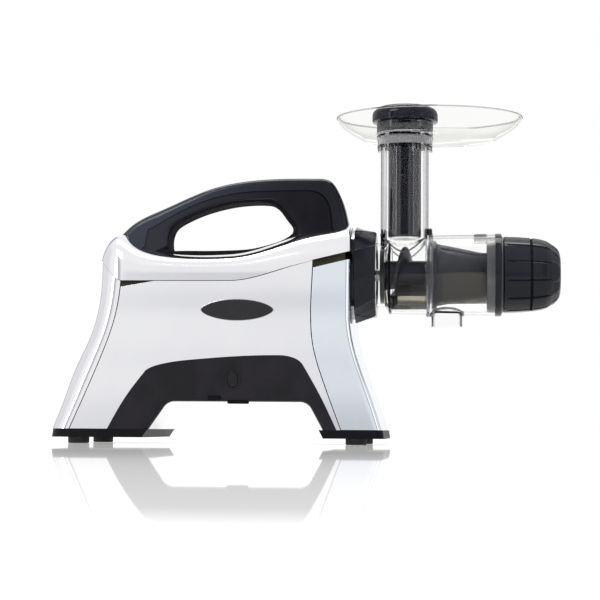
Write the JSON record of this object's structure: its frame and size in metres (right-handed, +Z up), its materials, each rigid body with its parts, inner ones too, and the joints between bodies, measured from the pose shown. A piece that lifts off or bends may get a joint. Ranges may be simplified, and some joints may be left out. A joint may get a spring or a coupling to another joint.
{
  "type": "cold press juicer",
  "caption": "Horizontal masticating juicer: arched motor body with carry handle, lock collar, clear drum with auger and screen, feed tube with tray and pusher, pulp cap.",
  "frame": {"origin": "on the floor under the centre of the bounding box", "axes": "+Z up, +X from the motor towards the pulp cap, the switch with the oval button faces -Y"},
  "size_m": [0.4332, 0.146, 0.295],
  "materials": {
    "chrome": "mirror-bright plated plastic",
    "navy": "high gloss, blue-black",
    "black": "satin black",
    "strip": "satin black",
    "rubber": "matt rubber",
    "badge": "dark with a silver rim",
    "clear": "clear moulded plastic",
    "smoke": "dark translucent plastic",
    "auger": "black moulded plastic",
    "steel": "machined steel",
    "mesh": "perforated steel",
    "core": "laminated steel",
    "copper": "enamelled copper wire",
    "alu": "die cast",
    "inner": "plain moulded plastic",
    "board": "circuit board",
    "grey": "grey seal"
  },
  "bodies": {
    "housing": {"rear_panel": "chrome", "front_panel": "chrome", "side_panel_near": "chrome", "side_panel_far": "chrome", "top_shell": "chrome", "handle_strap": "navy", "handle_surround": "black", "arch_frame": "black", "shoe_rear": "strip", "shoe_front": "strip", "foot_rear_near": "rubber", "foot_rear_far": "rubber", "foot_front_near": "rubber", "foot_front_far": "rubber", "badges": "badge", "button_bezel": "black", "button_switch": "inner", "rocker_bezel": "black", "cord_inlet": "rubber", "stator_core": "core", "winding_front": "copper", "winding_rear": "copper", "motor_bell_front": "alu", "motor_bell_rear": "alu", "bearing_front": "steel", "bearing_rear": "steel", "gearbox_case": "inner", "gearbox_plate": "alu", "gearbox_cover": "inner", "chassis": "inner", "capacitor": "grey", "control_board": "board", "socket_boss": "black", "bayonet_ring": "chrome", "drum": "clear", "feed_tube": "clear", "screen_frame": "smoke", "cone_mesh": "mesh", "trough_mesh": "mesh", "drum_seal": "grey", "drum_end_ring": "navy", "cap_gasket": "grey", "pulp_nozzle": "smoke"},
    "drive": {"output_shaft": "steel", "output_gear": "steel", "auger_shaft": "steel", "auger": "auger"},
    "countershaft": {"counter_shaft": "steel", "counter_pinion": "steel", "first_gear": "inner"},
    "rotor": {"rotor": "core", "motor_pinion": "steel", "fan": "inner"},
    "collar": {"lock_collar": "navy"},
    "cap": {"pulp_cap": "navy"},
    "tray": {"feed_tray": "clear"},
    "pusher": {"pusher": "navy", "pusher_cap": "navy"},
    "button": {"power_button": "black"},
    "rocker": {"rocker_switch": "black"}
  },
  "joints": [
    {"name": "rotor_spin", "type": "hinge", "parent": "housing", "child": "rotor", "pos_m": [-0.06, 0, 0.108], "axis": [1, 0, 0], "continuous": true},
    {"name": "countershaft_spin", "type": "hinge", "parent": "housing", "child": "countershaft", "pos_m": [0, 0.02273, 0.12569], "axis": [1, 0, 0], "continuous": true},
    {"name": "auger_spin", "type": "hinge", "parent": "housing", "child": "drive", "pos_m": [0.03, 0, 0.1475], "axis": [1, 0, 0], "continuous": true},
    {"name": "collar_twist", "type": "hinge", "parent": "housing", "child": "collar", "pos_m": [0.049, 0, 0.1475], "axis": [1, 0, 0], "range_deg": [-35, 0]},
    {"name": "cap_twist", "type": "hinge", "parent": "housing", "child": "cap", "pos_m": [0.19, 0, 0.1475], "axis": [1, 0, 0], "range_deg": [0, 60]},
    {"name": "tray_lift", "type": "slide", "parent": "housing", "child": "tray", "axis": [0, 0, 1], "range_m": [0, 0.06]},
    {"name": "pusher_slide", "type": "slide", "parent": "tray", "child": "pusher", "axis": [0, 0, 1], "range_m": [0, 0.14]},
    {"name": "button_press", "type": "slide", "parent": "housing", "child": "button", "axis": [0, 1, 0], "range_m": [0, 0.0015], "stiffness_N_per_m": 500, "springref_m": -0.002},
    {"name": "rocker_tilt", "type": "hinge", "parent": "housing", "child": "rocker", "pos_m": [-0.05901, 0.0682, 0.054], "axis": [1, 0, 0], "range_deg": [-8, 8]}
  ],
  "couplings": [
    {"joint": "countershaft_spin", "follows": "rotor_spin", "ratio": -0.2},
    {"joint": "auger_spin", "follows": "rotor_spin", "ratio": 0.052}
  ]
}
